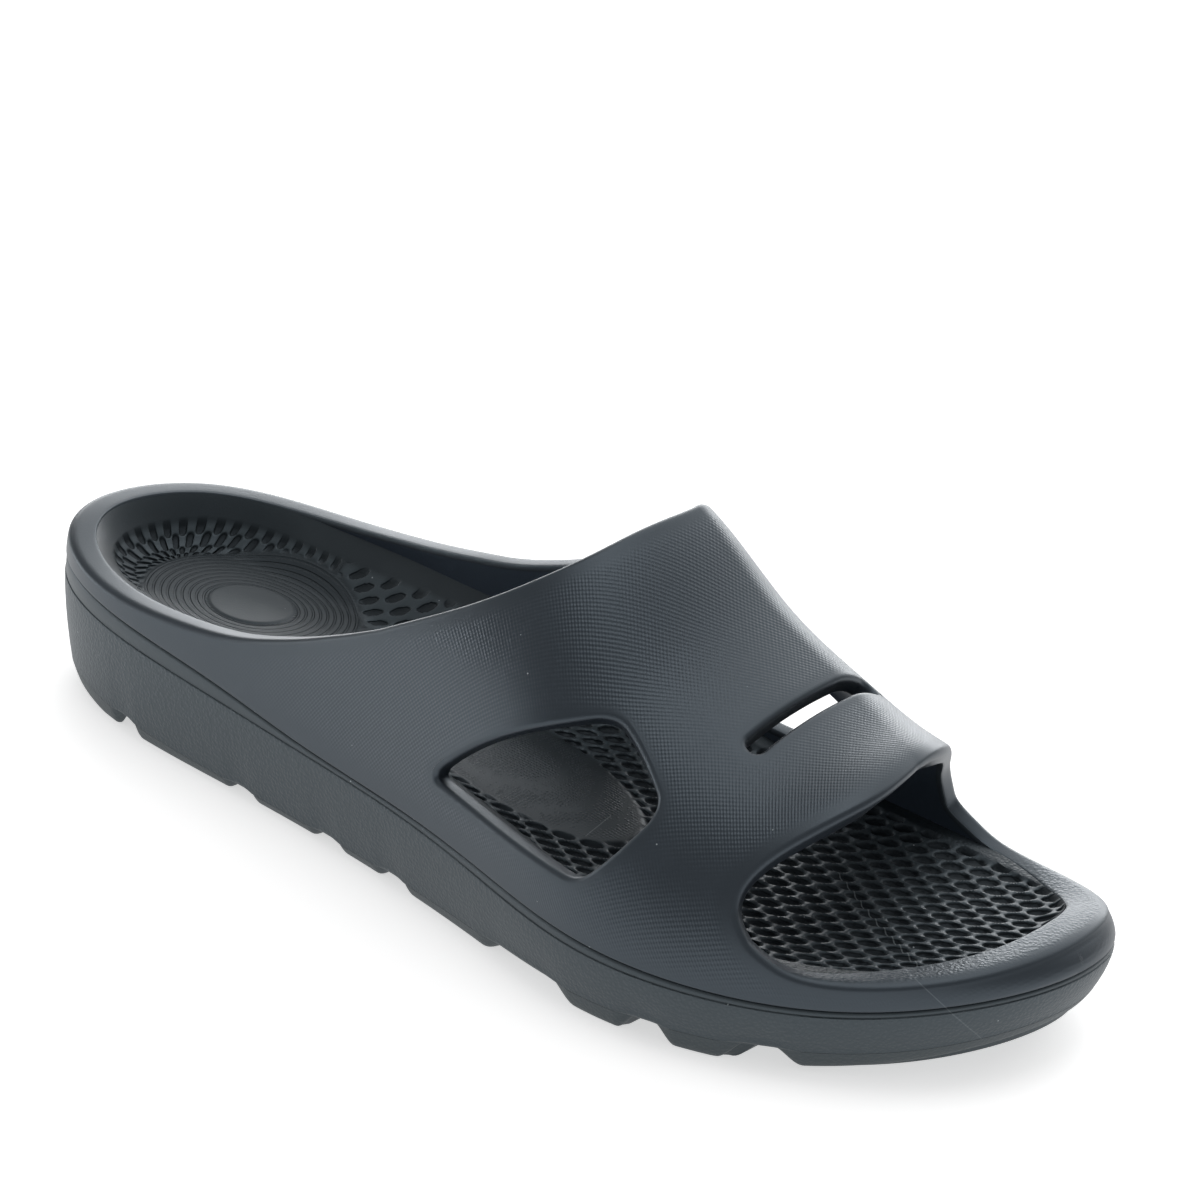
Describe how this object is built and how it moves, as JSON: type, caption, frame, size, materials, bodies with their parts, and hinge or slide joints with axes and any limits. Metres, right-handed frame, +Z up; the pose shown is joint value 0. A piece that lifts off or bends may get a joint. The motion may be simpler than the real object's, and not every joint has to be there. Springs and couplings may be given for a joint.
{
  "type": "sport slide sandal",
  "caption": "Open-toed moulded foam slide sandal for the right foot, with a wide vented instep strap, a heel rim, a cupped footbed and a lugged sole.",
  "frame": {"origin": "centre of the bounding box's bottom face, on the floor under the middle of the shoe", "axes": "+X runs from the heel to the toe, +Y to the foot's inner side, +Z up from the floor"},
  "size_m": [0.29, 0.104, 0.0934],
  "materials": {
    "upper": "satin moulded foam with a fine dotted emboss on the strap",
    "insole": "matt moulded foam with a net of small pits and heel rings",
    "midsole": "satin moulded foam with a leather grain",
    "outsole": "matt, with a leather grain"
  },
  "bodies": {
    "root": {"upper": "upper", "insole": "insole", "midsole": "midsole", "outsole": "outsole"}
  },
  "joints": []
}
